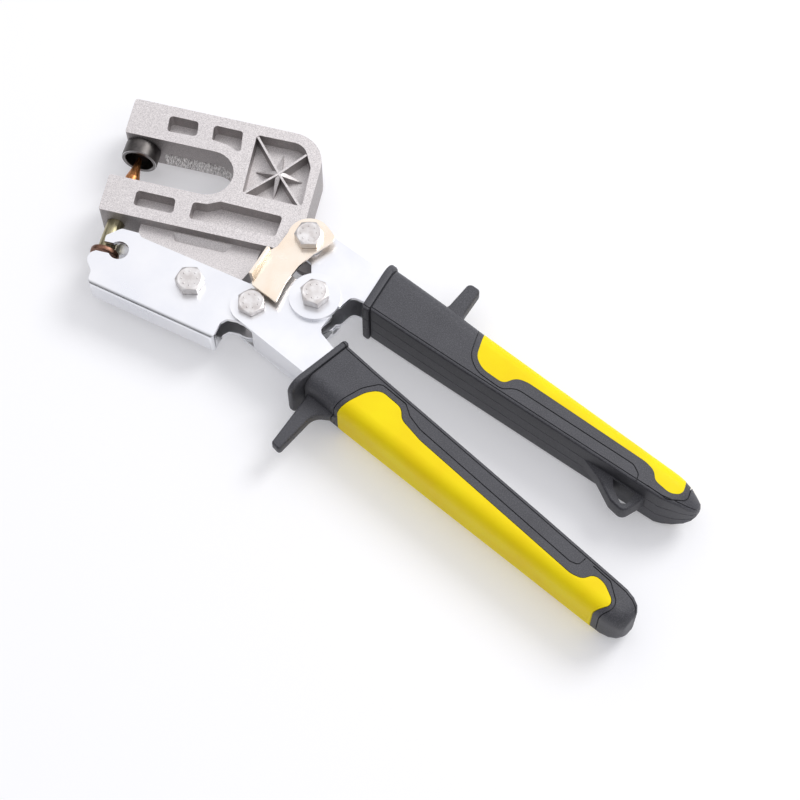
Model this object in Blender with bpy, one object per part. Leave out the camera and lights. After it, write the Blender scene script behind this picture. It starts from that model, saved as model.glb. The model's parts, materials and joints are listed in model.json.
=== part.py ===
"""Punch-lock pliers for metal stud sections, modelled closed on the tip of the punch.

The outlines are millimetres in the tool's own plane. Its origin is the lever pivot, +X runs along
the jaws towards the handles, +Y is the punching direction and +Z is the front face. Solids are
scaled to metres when their mesh is made, and the root empty sets the tool down on its back.
"""

import math

import bmesh
import bpy
from mathutils import Matrix, Vector

MM = 0.001
ARC_STEP = 12.0
ROUND = 24

# Pivots, in the tool's plane.
LEVER_PIVOT = (0.0, 0.0)
LINK_PIVOT = (26.1, -3.8)
HANDLE_PIVOT = (49.2, 4.8)
FRAME_PIVOT = (40.5, 28.2)

# Layers outward from the middle plane, each with a running gap of 0.15 to the next.
SHEET = 1.6
GAP = 0.15
FRAME_HALF = 9.0
WEB_HALF = 4.3
LEVER_OUT = WEB_HALF + GAP + SHEET
HANDLE_IN = LEVER_OUT + GAP
HANDLE_OUT = HANDLE_IN + SHEET
DISC_IN = HANDLE_OUT + GAP
DISC_OUT = DISC_IN + SHEET
LATCH_IN = 10.6
LATCH_OUT = 11.8

# M6 fasteners.
SHANK = 3.0
HOLE = 3.15
LINK_HOLE = 3.6
ACROSS_FLATS = 10.0

# Punch and die.
PUNCH_X = -38.3
PUNCH_RADIUS = 3.5
TIP_RADIUS = 2.95
TIP_START = 43.8
DIE_BORE = 5.8
GUIDE_RADIUS = 3.65
DIE_MOUTH = 51.9
JAW_FACE = 58.9
JAW_TOP = 75.4

# Frame pockets, and the recesses in the web below the lower arm.
POCKET_FLOOR = 3.0
RECESS_TOP = 21.7
RECESS_SLOPE = 0.5

# Ribs in the square pocket: thin ones to its corners, and webs that fall away between them.
RIB_CENTRE = (20.2, 55.4)
RIB_CORNERS = [(6.6, 70.9), (28.6, 66.7), (32.6, 42.4), (8.9, 42.7)]
RIB_WIDTH = 0.9
WEB_TIPS = [(18.6, 67.1), (29.2, 56.8), (20.1, 46.7), (9.9, 57.0)]
# Each web's half width and top, at distances from the middle and at its tip.
WEB_ROOT = (0.7, 0.65, 8.4)
WEB_BACK = (2.4, 0.95, 7.8)
WEB_TIP = (0.2, 3.2)

# Handles: the direction of each grip, where its steel tang ends, and its plastic.
UPPER_ANGLE = -23.5
LOWER_ANGLE = -28.1
TANG_END = 140.0
GRIP_HALF = 11.5
FLANGE_HALF = 12.3
OUTER_ROUND = 6.0
SEAM_ROUND = 1.0
PAD_DEPTH = 1.4
PAD_GAP = 0.3
LOOP_HALF = 4.0

# Return spring.
COIL_RADIUS = 6.5
WIRE = 1.4
COIL_HALF = 4.3
COIL_START = 204.0
COIL_END = 120.0 - 4 * 360.0
LEG = 24.0


def clear_scene():
    for thing in list(bpy.data.objects):
        bpy.data.objects.remove(thing)


# Outlines ------------------------------------------------------------------------------------


def arc(centre, radius, start, end):
    """Points of a round stretch, from one angle to another in degrees."""
    steps = max(1, math.ceil(abs(end - start) / ARC_STEP))
    angles = [math.radians(start + (end - start) * step / steps) for step in range(steps + 1)]
    return [(centre[0] + radius * math.cos(a), centre[1] + radius * math.sin(a)) for a in angles]


def arc_through(first, middle, last):
    """Points of the round stretch through three points."""
    (ax, ay), (bx, by), (cx, cy) = first, middle, last
    twice = 2 * (ax * (by - cy) + bx * (cy - ay) + cx * (ay - by))
    a2, b2, c2 = ax * ax + ay * ay, bx * bx + by * by, cx * cx + cy * cy
    x = (a2 * (by - cy) + b2 * (cy - ay) + c2 * (ay - by)) / twice
    y = (a2 * (cx - bx) + b2 * (ax - cx) + c2 * (bx - ax)) / twice
    start = math.degrees(math.atan2(ay - y, ax - x))
    end = math.degrees(math.atan2(cy - y, cx - x))
    end += 360 * round((start - end) / 360)
    return arc((x, y), math.hypot(ax - x, ay - y), start, end)


def fillet(before, corner, after, radius):
    """Points of the round that takes the place of a corner."""
    corner = Vector(corner[:2])
    back = (Vector(before[:2]) - corner).normalized()
    ahead = (Vector(after[:2]) - corner).normalized()
    half = back.angle(ahead) / 2
    centre = corner + (back + ahead).normalized() * (radius / math.sin(half))
    first = corner + back * (radius / math.tan(half)) - centre
    last = corner + ahead * (radius / math.tan(half)) - centre
    start = math.degrees(math.atan2(first.y, first.x))
    turn = math.degrees(math.atan2(first.cross(last), first.dot(last)))
    return arc(centre, radius, start, start + turn)


def outline(*items):
    """A closed outline of corners (x, y), rounded corners (x, y, radius) and lists of points."""
    corners = []
    for item in items:
        corners.extend(item if isinstance(item, list) else [item])
    points = []
    for place, corner in enumerate(corners):
        if len(corner) == 3:
            after = corners[(place + 1) % len(corners)]
            points.extend(fillet(corners[place - 1], corner, after, corner[2]))
        else:
            points.append(corner)
    return points


def grown(points, distance):
    """The outline moved outward by a distance."""
    area = sum(a[0] * b[1] - b[0] * a[1] for a, b in zip(points, points[1:] + points[:1]))
    side = distance if area > 0 else -distance
    moved = []
    for place, point in enumerate(points):
        here = Vector(point)
        along = (here - Vector(points[place - 1])).normalized()
        away = (Vector(points[(place + 1) % len(points)]) - here).normalized()
        normals = [Vector((along.y, -along.x)), Vector((away.y, -away.x))]
        between = normals[0] + normals[1]
        moved.append(tuple(here + between * (side / (1 + normals[0].dot(normals[1])))))
    return moved


def turned_by(angle, corners):
    """Corners given along and across a handle, as corners in the tool's plane."""
    cos, sin = math.cos(math.radians(angle)), math.sin(math.radians(angle))
    return [(s * cos - n * sin, s * sin + n * cos, *rest) for s, n, *rest in corners]


def hexagon(centre, angle):
    """A hexagon with a flat facing the angle."""
    corner = ACROSS_FLATS / 2 / math.cos(math.radians(30))
    ends = [math.radians(angle + 30 + 60 * k) for k in range(6)]
    return [(centre[0] + corner * math.cos(a), centre[1] + corner * math.sin(a)) for a in ends]


# Solids, each added to a bmesh -----------------------------------------------------------------


def prism(shape, points, low, high):
    """The solid of an outline between two heights."""
    face = shape.faces.new([shape.verts.new((x, y, low)) for x, y in points])
    made = bmesh.ops.extrude_face_region(shape, geom=[face])["geom"]
    top = [part for part in made if isinstance(part, bmesh.types.BMVert)]
    bmesh.ops.translate(shape, verts=top, vec=(0, 0, high - low))


def disc(shape, centre, radius, low, high):
    prism(shape, arc(centre, radius, 0, 360 - 360 / ROUND), low, high)


def bridge(shape, rings):
    """The closed solid through rings of equally many points in space."""
    rows = [[shape.verts.new(point) for point in ring] for ring in rings]
    for low, high in zip(rows, rows[1:]):
        for place in range(len(low)):
            shape.faces.new((low[place - 1], low[place], high[place], high[place - 1]))
    shape.faces.new(rows[0])
    shape.faces.new(rows[-1])


def turned(shape, profile, x):
    """The solid of (radius, y) points turned about a line along Y, with closed ends."""
    angles = [2 * math.pi * step / ROUND for step in range(ROUND)]
    rings = [[(x + r * math.cos(a), y, r * math.sin(a)) for a in angles] for r, y in profile]
    bridge(shape, rings)


# Objects ---------------------------------------------------------------------------------------


def material(name, colour, roughness, metallic):
    made = bpy.data.materials.new(name)
    made.use_nodes = True
    surface = made.node_tree.nodes["Principled BSDF"]
    surface.inputs["Base Color"].default_value = (*colour, 1)
    surface.inputs["Roughness"].default_value = roughness
    surface.inputs["Metallic"].default_value = metallic
    return made


def empty(name, place, parent=None):
    """An empty on a joint's axis. It carries the pieces of one body."""
    made = bpy.data.objects.new(name, None)
    bpy.context.scene.collection.objects.link(made)
    made.location = Vector((*place, 0)) * MM
    if parent:
        made.parent = parent
        made.location -= parent.location
    made["place"] = (*place, 0.0)
    return made


def solid(name, body, build, finish=None):
    """The object of a shape, hung on its body's empty. With no finish it is a helper."""
    shape = bmesh.new()
    build(shape)
    bmesh.ops.recalc_face_normals(shape, faces=shape.faces)
    bmesh.ops.transform(shape, matrix=Matrix.Scale(MM, 4), verts=shape.verts)
    mesh = bpy.data.meshes.new(name)
    shape.to_mesh(mesh)
    shape.free()
    made = bpy.data.objects.new(name, mesh)
    bpy.context.scene.collection.objects.link(made)
    made.parent = body
    made.location = Vector(body["place"]) * -MM
    if finish:
        mesh.materials.append(finish)
        mesh.shade_smooth()
        mesh.set_sharp_from_angle(angle=math.radians(30))
    else:
        made.hide_render = True
        made.display_type = "WIRE"
    return made


def combine(target, operation, body, *builds):
    """Joins, cuts or keeps the overlap of an object with each shape in turn."""
    for build in builds:
        count = len(target.modifiers)
        helper = solid(f"{target.name}_{operation.lower()}_{count}", body, build)
        add_boolean(target, operation, helper)


def add_boolean(target, operation, helper):
    step = target.modifiers.new(f"{operation.lower()}_{len(target.modifiers)}", "BOOLEAN")
    step.operation = operation
    step.solver = "EXACT"
    step.object = helper


# Frame, die and punch ----------------------------------------------------------------------------


def build_frame(body, finish):
    bars = outline(
        (-46.0, 75.4, 1.2), (-45.3, JAW_FACE, 1.0), arc((-7.3, 48.6), 10.3, 90, -90),
        (-45.2, 38.3, 1.0), (-44.4, 21.8, 1.0), (29.8, 21.8, 1.0),
        arc(FRAME_PIVOT, 9.3, 190, 115), (35.8, 62.0, 12.0), (34.8, 75.4, 14.0),
    )
    lug = outline(
        (-27.5, 24.0), (-27.0, 17.0, 3.0), (-12.0, 3.5, 3.0), arc(LEVER_PIVOT, 9.0, 165, 375),
        (17.5, 4.5, 3.0), (21.5, 14.0, 3.0), (22.5, 24.0),
    )
    eye = outline((28.0, 36.0), (28.0, 22.2), arc(FRAME_PIVOT, 7.2, -115, 85), (36.0, 40.0))
    frame = solid("die_frame", body, lambda s: prism(s, bars, -FRAME_HALF, FRAME_HALF), finish)
    combine(
        frame, "UNION", body,
        lambda s: prism(s, lug, -WEB_HALF, WEB_HALF),
        lambda s: prism(s, eye, -WEB_HALF, WEB_HALF),
    )
    combine(frame, "DIFFERENCE", body, cut_pockets, cut_recesses, cut_bores)
    combine(frame, "UNION", body, add_ribs, add_webs)


def cut_pockets(shape):
    pockets = [
        outline((-30.0, 70.9, 1.5), (-17.8, 70.8, 1.5), (-16.5, 63.9, 1.5), (-29.0, 63.4, 1.5)),
        outline(
            (-11.4, 70.9, 1.5), (0.9, 70.8, 1.5), (2.6, 61.3, 1.0),
            arc((-7.3, 48.6), 15.0, 58, 76), (-10.2, 64.0, 1.0),
        ),
        outline(
            (6.7, 70.7, 1.5), (26.5, 70.9, 7.0), (31.9, 61.0, 3.0), (33.4, 42.7, 1.5),
            (8.6, 43.0, 1.5),
        ),
        outline((-32.2, 33.8, 1.5), (-16.1, 33.7, 1.5), (-15.0, 26.8, 1.5), (-31.6, 26.9, 1.5)),
        outline(
            (-9.0, 34.1, 1.5), (-3.4, 34.4, 1.5), (1.4, 36.9, 1.5), (27.3, 36.3, 1.5),
            (27.0, 26.7, 1.5), (-8.5, 26.4, 1.5),
        ),
    ]
    for pocket in pockets:
        prism(shape, pocket, POCKET_FLOOR, FRAME_HALF + 1)
        prism(shape, pocket, -FRAME_HALF - 1, -POCKET_FLOOR)


def cut_recesses(shape):
    """A recess under the lower arm, on both faces, whose floor falls away from the arm."""
    ends = outline((-14.0, 21.5), (10.8, 21.5), (8.6, 17.3, 1.2), (-12.0, 17.5, 1.6))
    for face in (1, -1):
        floor = [(x, y, face * (WEB_HALF - RECESS_SLOPE * (RECESS_TOP - y))) for x, y in ends]
        bridge(shape, [floor, [(x, y, face * (WEB_HALF + 1)) for x, y in ends]])


def cut_bores(shape):
    disc(shape, LEVER_PIVOT, HOLE, -WEB_HALF - 1, WEB_HALF + 1)
    disc(shape, FRAME_PIVOT, HOLE, -WEB_HALF - 1, WEB_HALF + 1)
    turned(shape, [(GUIDE_RADIUS, 20.0), (GUIDE_RADIUS, 40.0)], PUNCH_X)
    seat = [(4.3, JAW_FACE - 1), (4.3, 66.5), (2.8, 66.5), (2.8, 71.2), (4.7, 71.2), (4.7, 77.0)]
    turned(shape, seat, PUNCH_X)


def add_ribs(shape):
    """Thin ribs from the corners of the square pocket to its middle, on both faces."""
    centre = Vector(RIB_CENTRE)
    rays = [Vector(corner) - centre for corner in RIB_CORNERS]
    points = []
    for ray, after in zip(rays, rays[1:] + rays[:1]):
        side = Vector((-ray.y, ray.x)).normalized() * (RIB_WIDTH / 2)
        notch = (ray.normalized() + after.normalized()).normalized()
        reach = RIB_WIDTH / 2 / math.sin(ray.angle(after) / 2)
        points.extend([centre + ray + side, centre + ray - side, centre + notch * reach])
    points = [tuple(point) for point in points]
    prism(shape, points, POCKET_FLOOR - 0.5, FRAME_HALF - 0.3)
    prism(shape, points, 0.3 - FRAME_HALF, 0.5 - POCKET_FLOOR)


def add_webs(shape):
    """Webs that narrow and fall from the middle of the ribs to the pocket's floor, on both faces."""
    centre = Vector(RIB_CENTRE)
    floor = POCKET_FLOOR - 0.5
    for tip in WEB_TIPS:
        ray = Vector(tip) - centre
        along = ray.normalized()
        side = Vector((-along.y, along.x))
        for face in (1, -1):
            rings = []
            for distance, half, top in (WEB_ROOT, WEB_BACK, (ray.length, *WEB_TIP)):
                right = centre + along * distance + side * half
                left = centre + along * distance - side * half
                rings.append([
                    (*right, floor * face), (*right, top * face),
                    (*left, top * face), (*left, floor * face),
                ])
            bridge(shape, rings)


def build_die(body, steel, blackened):
    cup = [
        (6.9, DIE_MOUTH), (7.4, DIE_MOUTH + 0.5), (7.4, JAW_FACE - 0.3),
        (4.0, JAW_FACE - 0.3), (4.0, 65.9),
    ]
    screw = [(2.4, 60.4), (2.4, 71.5), (4.2, 71.5), (4.2, 74.6), (3.6, 75.2)]
    socket = [(DIE_BORE, DIE_MOUTH - 1), (DIE_BORE, 57.2)]
    die = solid("die_cup", body, lambda s: turned(s, cup, PUNCH_X), blackened)
    combine(
        die, "DIFFERENCE", body,
        lambda s: turned(s, socket, PUNCH_X),
        lambda s: turned(s, [(2.7, 59.6), (2.7, 67.0)], PUNCH_X),
    )
    made = solid("die_screw", body, lambda s: turned(s, screw, PUNCH_X), steel)
    key = [(1.7, 72.8), (1.7, 76.0)]
    combine(made, "DIFFERENCE", body, lambda s: turned_hexagon(s, key))


def turned_hexagon(shape, profile):
    """The screw's key socket: a hexagon along Y."""
    angles = [2 * math.pi * step / 6 for step in range(6)]
    rings = [[(PUNCH_X + r * math.cos(a), y, r * math.sin(a)) for a in angles] for r, y in profile]
    bridge(shape, rings)


def build_punch(body, bronze, copper):
    pin = [
        (2.4, 6.4), (2.4, 8.6), (PUNCH_RADIUS, 8.6), (PUNCH_RADIUS, 33.5), (TIP_RADIUS, 34.2),
        (TIP_RADIUS, TIP_START), (1.4, 49.4), (0.7, 53.7),
    ]
    solid("punch", body, lambda s: turned(s, pin, PUNCH_X), bronze)
    rim = [(5.2, 6.3), (5.8, 6.8), (5.8, 8.0), (5.2, 8.45)]
    foot = solid("punch_foot", body, lambda s: turned(s, rim, PUNCH_X), copper)
    combine(foot, "DIFFERENCE", body, lambda s: turned(s, [(2.7, 5.0), (2.7, 10.0)], PUNCH_X))


def build_lever(body, finish):
    web = [(15.2, -21.2), (-39.1, -9.5)]
    side = outline(
        (-38.3, 9.8, 0.6), (-38.6, 12.5, 1.5), (-33.5, 17.0, 2.5), (-26.2, 16.7, 1.2),
        (-24.8, 15.1, 1.0), arc(LINK_PIVOT, 8.5, 78.5, -115), (18.4, -11.6, 1.2),
        (16.4, -13.7, 1.2), web[0], web[1], (-39.4, -4.1, 1.5), arc((-39.0, 1.5), 3.6, 225, 115),
        (-40.4, 5.0),
    )
    across = (Vector(web[0]) - Vector(web[1])).normalized()
    lift = Vector((-across.y, across.x)) * SHEET
    floor = [tuple(Vector(web[0]) + lift + across * 20), tuple(Vector(web[1]) + lift - across * 20)]
    inside = outline(*floor, (-60.0, 40.0), (50.0, 40.0))
    mouth = outline((-50.0, 9.8), (-50.0, 5.0), (-34.4, 5.0), (-34.4, 9.8))
    lever = solid("punch_lever", body, lambda s: prism(s, side, -LEVER_OUT, LEVER_OUT), finish)
    clear = LEVER_OUT - SHEET
    combine(
        lever, "DIFFERENCE", body,
        lambda s: prism(s, inside, -clear, clear),
        lambda s: prism(s, mouth, -LEVER_OUT - 1, LEVER_OUT + 1),
        lambda s: disc(s, (-31.6, 7.2), 4.0, -LEVER_OUT - 1, LEVER_OUT + 1),
        lambda s: cut_lever_holes(s),
    )


def cut_lever_holes(shape):
    disc(shape, LEVER_PIVOT, HOLE, -LEVER_OUT - 1, LEVER_OUT + 1)
    disc(shape, LINK_PIVOT, LINK_HOLE, -LEVER_OUT - 1, LEVER_OUT + 1)


# Handles -----------------------------------------------------------------------------------------


def upper_tang(spare):
    """The upper channel inside its grip, made larger by a spare distance."""
    end = TANG_END + spare
    return turned_by(UPPER_ANGLE, [
        (66.0, 49.6 + spare), (100.0, 47.8 + spare), (end, 46.0 + spare),
        (end, 37.6 - spare), (66.0, 36.0 - spare),
    ])


def lower_tang(spare):
    end = TANG_END + spare
    return turned_by(LOWER_ANGLE, [
        (68.0, 16.4 + spare), (end, 14.2 + spare), (end, 2.6 - spare), (68.0, 1.2 - spare),
    ])


def build_upper_channel(body, finish):
    side = outline(
        arc(FRAME_PIVOT, 7.6, 275, 90 + UPPER_ANGLE), upper_tang(0.0),
        (69.7, 7.6, 2.0), (62.9, 9.0, 3.0), (59.6, 3.4, 1.0),
        arc(HANDLE_PIVOT, 8.6, -15, -240), (45.0, 14.5, 1.0), (43.7, 19.2, 1.0),
    )
    inside = outline(
        (50.5, 60.0), (50.5, 30.4),
        turned_by(UPPER_ANGLE, [
            (66.0, 48.0), (100.0, 46.2), (TANG_END + 10, 44.0), (TANG_END + 10, 20.0),
        ]),
        (50.0, -40.0), (10.0, -40.0), (10.0, 60.0),
    )
    channel = solid(
        "upper_handle_channel", body, lambda s: prism(s, side, -HANDLE_OUT, HANDLE_OUT), finish
    )
    combine(
        channel, "DIFFERENCE", body,
        lambda s: prism(s, inside, -HANDLE_IN, HANDLE_IN),
        lambda s: cut_upper_holes(s),
    )


def cut_upper_holes(shape):
    for pivot in (FRAME_PIVOT, HANDLE_PIVOT):
        disc(shape, pivot, HOLE, -HANDLE_OUT - 1, HANDLE_OUT + 1)


def build_lower_channel(body, finish):
    """The lower handle's channel. Each cheek is joggled outward into a disc at the handle pivot."""
    side = outline(
        (29.3, -14.8), arc(LINK_PIVOT, 8.5, 250, 100), (36.5, 13.0, 1.5),
        arc(HANDLE_PIVOT, 10.2, 145, 150), HANDLE_PIVOT, arc(HANDLE_PIVOT, 10.2, -35, -40),
        (54.9, -7.1, 1.5), (55.6, -9.4, 1.5), (61.4, -14.2, 4.0), lower_tang(0.0),
    )
    inside = outline(turned_by(LOWER_ANGLE, [
        (0.0, -30.0), (32.8, -30.0), (32.8, 2.8), (TANG_END + 10, 4.6), (TANG_END + 10, 60.0),
        (0.0, 60.0),
    ]))
    channel = solid(
        "lower_handle_channel", body, lambda s: prism(s, side, -HANDLE_OUT, HANDLE_OUT), finish
    )
    combine(
        channel, "DIFFERENCE", body,
        lambda s: prism(s, inside, -HANDLE_IN, HANDLE_IN),
        lambda s: disc(s, HANDLE_PIVOT, 9.0, -HANDLE_OUT - 1, HANDLE_OUT + 1),
    )
    combine(channel, "UNION", body, add_joggles, add_joggle_discs)
    combine(channel, "DIFFERENCE", body, lambda s: cut_lower_holes(s))


def add_joggles(shape):
    """The bent rims that lift the discs off the cheeks, round the side away from the upper handle."""
    rim = outline(arc(HANDLE_PIVOT, 10.2, 150, 325), arc(HANDLE_PIVOT, 8.9, 325, 150))
    prism(shape, rim, HANDLE_IN, DISC_OUT - 0.4)
    prism(shape, rim, 0.4 - DISC_OUT, -HANDLE_IN)


def add_joggle_discs(shape):
    disc(shape, HANDLE_PIVOT, 10.2, DISC_IN, DISC_OUT)
    disc(shape, HANDLE_PIVOT, 10.2, -DISC_OUT, -DISC_IN)


def cut_lower_holes(shape):
    disc(shape, HANDLE_PIVOT, HOLE, -DISC_OUT - 1, DISC_OUT + 1)
    disc(shape, LINK_PIVOT, HOLE, -DISC_OUT - 1, DISC_OUT + 1)


# Grips: stations along the handle, as (along, inner side, outer side, half thickness) --------------

UPPER_STATIONS = [
    (60.8, 31.4, 53.5, 11.2), (85.0, 31.9, 52.8, GRIP_HALF), (105.0, 32.4, 51.7, GRIP_HALF),
    (150.0, 33.7, 50.3, GRIP_HALF), (197.0, 35.2, 48.9, GRIP_HALF), (200.0, 36.2, 48.7, 10.8),
    (203.5, 37.6, 48.4, 9.2), (207.0, 39.0, 47.6, 6.8), (209.8, 40.8, 46.2, 4.0),
]
LOWER_STATIONS = [
    (63.6, 19.6, -2.7, 11.2), (82.0, 18.8, -2.3, GRIP_HALF), (105.0, 18.3, -1.6, GRIP_HALF),
    (122.0, 17.9, -1.1, GRIP_HALF), (165.0, 16.9, 0.4, GRIP_HALF), (202.0, 15.8, 1.6, GRIP_HALF),
    (209.0, 15.4, 2.1, 11.2), (213.5, 14.0, 3.6, 9.9), (215.4, 12.4, 5.2, 8.3),
]
UPPER_FLANGE = [(59.2, 30.2, 54.2, FLANGE_HALF), (62.6, 30.2, 54.2, FLANGE_HALF)]
UPPER_FLANGE_LEAN = 0.15
LOWER_FLANGE = [(61.9, 20.3, -8.6, FLANGE_HALF), (64.6, 20.3, -8.6, FLANGE_HALF)]
LOWER_FLANGE_LEAN = -0.11


def section(inner, outer, half, inset):
    """One closed cross-section of a grip: nearly square at its inner side, round at its outer side."""
    out = 1 if outer > inner else -1
    inner += inset * out
    outer -= inset * out
    half -= inset
    big = max(1.0, min(OUTER_ROUND - inset, half - 1.0, abs(outer - inner) - 1.5))
    points = []
    for centre, radius, start in (
        ((outer - out * big, half - big), big, 0),
        ((inner + out * SEAM_ROUND, half - SEAM_ROUND), SEAM_ROUND, 90),
        ((inner + out * SEAM_ROUND, SEAM_ROUND - half), SEAM_ROUND, 180),
        ((outer - out * big, big - half), big, 270),
    ):
        for step in (0, 1, 2, 3):
            a = math.radians(start + 30 * step)
            points.append((centre[0] + out * radius * math.cos(a), centre[1] + radius * math.sin(a)))
    return points


def lofted(shape, angle, stations, inset=0.0, lean=0.0):
    """The solid through a handle's cross-sections."""
    cos, sin = math.cos(math.radians(angle)), math.sin(math.radians(angle))
    rings = []
    for along, inner, outer, half in stations:
        middle = (inner + outer) / 2
        ring = []
        for n, z in section(inner, outer, half, inset):
            s = along + lean * (middle - n)
            ring.append((s * cos - n * sin, s * sin + n * cos, z))
        rings.append(ring)
    bridge(shape, rings)


def build_grip(name, body, angle, stations, pad, additions, cavity, plastic, yellow):
    """A grip with its soft pad let into the outer side and both faces."""
    through = GRIP_HALF + 4
    grip = solid(name, body, lambda s: lofted(s, angle, stations), plastic)
    combine(grip, "UNION", body, *additions)
    wide = grown(pad, PAD_GAP)
    recess = solid(f"{name}_recess", body, lambda s: prism(s, wide, -through, through))
    depth = PAD_DEPTH + 0.2
    combine(recess, "DIFFERENCE", body, lambda s: lofted(s, angle, stations, depth))
    add_boolean(grip, "DIFFERENCE", recess)
    clear = HANDLE_OUT + PAD_GAP
    combine(grip, "DIFFERENCE", body, lambda s: prism(s, cavity, -clear, clear))
    soft = solid(f"{name}_pad", body, lambda s: lofted(s, angle, stations), yellow)
    combine(soft, "INTERSECT", body, lambda s: prism(s, pad, -through, through))
    combine(soft, "DIFFERENCE", body, lambda s: lofted(s, angle, stations, PAD_DEPTH))


def build_upper_grip(body, plastic, yellow):
    pad = outline(turned_by(UPPER_ANGLE, [
        (104.5, 60.0), (104.8, 51.5), (108.8, 40.5, 3.0), (113.6, 37.6, 2.5), (123.6, 37.5, 2.5),
        (126.3, 42.4, 3.0), (131.0, 43.5, 6.0), (184.5, 43.9, 5.0), (189.0, 42.9, 3.0),
        (191.5, 39.8, 2.0), (198.5, 38.9, 3.0), (202.6, 42.0, 3.0), (200.8, 47.0, 2.0),
        (199.0, 50.5), (199.5, 60.0),
    ]))
    post = outline(turned_by(UPPER_ANGLE, [
        (78.0, 50.0), (81.5, 52.8), (84.4, 55.5, 2.0), (84.6, 68.7, 2.0), (90.3, 68.7, 2.0),
        (91.9, 57.0, 3.0), (96.5, 52.0), (99.0, 50.0),
    ]))
    loop = outline(turned_by(UPPER_ANGLE, [
        (160.0, 37.0), (164.0, 34.2), (173.0, 31.0, 6.0), (181.5, 26.3, 3.0), (188.2, 25.2, 3.0),
        (190.8, 32.0, 2.0), (192.0, 38.0),
    ]))
    eye = outline(turned_by(UPPER_ANGLE, [
        (177.5, 34.0), (180.0, 30.8), (185.5, 27.6, 1.2), (187.6, 29.0, 1.2), (187.4, 34.0),
    ]))
    cavity = outline(
        turned_by(UPPER_ANGLE, [(50.0, 33.6), (50.0, 50.2)]), upper_tang(0.4),
        turned_by(UPPER_ANGLE, [(60.9, 34.2)]),
    )
    additions = [
        lambda s: lofted(s, UPPER_ANGLE, UPPER_FLANGE, 0.0, UPPER_FLANGE_LEAN),
        lambda s: prism(s, post, -2.6, 2.6),
        lambda s: prism(s, loop, -LOOP_HALF, LOOP_HALF),
    ]
    build_grip(
        "upper_grip", body, UPPER_ANGLE, UPPER_STATIONS, pad, additions, cavity, plastic, yellow
    )
    grip = bpy.data.objects["upper_grip"]
    combine(grip, "DIFFERENCE", body, lambda s: prism(s, eye, -LOOP_HALF - 1, LOOP_HALF + 1))


def build_lower_grip(body, plastic, yellow):
    pad = outline(turned_by(LOWER_ANGLE, [
        (80.2, -12.0), (80.6, -3.4), (84.7, 9.5, 6.0), (88.4, 13.9, 3.0), (99.0, 13.7, 3.0),
        (102.2, 10.2, 3.0), (113.0, 8.5, 20.0), (188.5, 6.1, 4.0), (193.0, 7.4, 3.0),
        (195.0, 11.4, 2.0), (199.6, 11.6, 2.0), (205.5, 8.6, 2.5), (206.8, 6.5, 2.0),
        (202.8, 1.5), (202.5, -12.0),
    ]))
    guard = outline(turned_by(LOWER_ANGLE, [
        (63.5, 3.0), (65.9, -4.9), (69.3, -26.6, 1.2), (73.8, -27.0, 1.2), (73.2, -9.0, 5.0),
        (80.5, -1.5), (82.0, 3.0),
    ]))
    cavity = outline(turned_by(LOWER_ANGLE, [(50.0, 0.8), (50.0, 16.8)]), lower_tang(0.4))
    additions = [
        lambda s: lofted(s, LOWER_ANGLE, LOWER_FLANGE, 0.0, LOWER_FLANGE_LEAN),
        lambda s: prism(s, guard, -2.3, 2.3),
    ]
    build_grip(
        "lower_grip", body, LOWER_ANGLE, LOWER_STATIONS, pad, additions, cavity, plastic, yellow
    )


# Latch, spring and fasteners -----------------------------------------------------------------------


def build_latch(body, finish):
    plate = outline(
        (29.6, 21.3, 1.0), arc(FRAME_PIVOT, 8.7, 180, 45), (50.2, 31.0, 1.0),
        arc_through((49.7, 28.3), (39.3, 13.3), (35.9, -1.7)), (35.8, -2.6, 0.4),
        (24.7, 2.5, 0.4), (24.4, 3.6), (26.8, 18.5),
    )
    fold = [(26.8, 18.3), (24.4, 3.6), (25.6, 3.4), (28.0, 18.1)]
    tip = [(26.4, 18.3), (22.9, 5.2), (24.1, 5.0), (27.5, 18.1)]
    latch = solid("latch_plate", body, lambda s: prism(s, plate, LATCH_IN, LATCH_OUT), finish)
    rings = [[(x, y, LATCH_IN) for x, y in fold], [(x, y, 15.6) for x, y in tip]]
    combine(latch, "UNION", body, lambda s: bridge(s, rings))
    hole = lambda s: disc(s, FRAME_PIVOT, HOLE, LATCH_IN - 1, LATCH_OUT + 1)
    combine(latch, "DIFFERENCE", body, hole)


def build_spring(body, finish):
    """A torsion spring round the handle pivot, with a leg into each handle channel."""
    turns = math.ceil(abs(COIL_END - COIL_START) / 24.0)
    centre = Vector((*HANDLE_PIVOT, 0.0))
    points = []
    for step in range(turns + 1):
        angle = math.radians(COIL_START + (COIL_END - COIL_START) * step / turns)
        height = COIL_HALF * (2 * step / turns - 1)
        points.append(centre + Vector((math.cos(angle), math.sin(angle), 0)) * COIL_RADIUS)
        points[-1].z = height
    into_lower = math.radians(COIL_START + 90)
    into_upper = math.radians(COIL_END - 90)
    points.insert(0, points[0] + Vector((math.cos(into_lower), math.sin(into_lower), 0)) * LEG)
    points.append(points[-1] + Vector((math.cos(into_upper), math.sin(into_upper), 0)) * LEG)
    wire = bpy.data.curves.new("return_spring", "CURVE")
    wire.dimensions = "3D"
    wire.bevel_depth = WIRE / 2 * MM
    wire.bevel_resolution = 1
    wire.use_fill_caps = True
    path = wire.splines.new("POLY")
    path.points.add(len(points) - 1)
    for knot, point in zip(path.points, points):
        knot.co = (*(point * MM), 1)
    wire.materials.append(finish)
    made = bpy.data.objects.new("return_spring", wire)
    bpy.context.scene.collection.objects.link(made)
    made.parent = body
    made.location = Vector(body["place"]) * -MM


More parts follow.
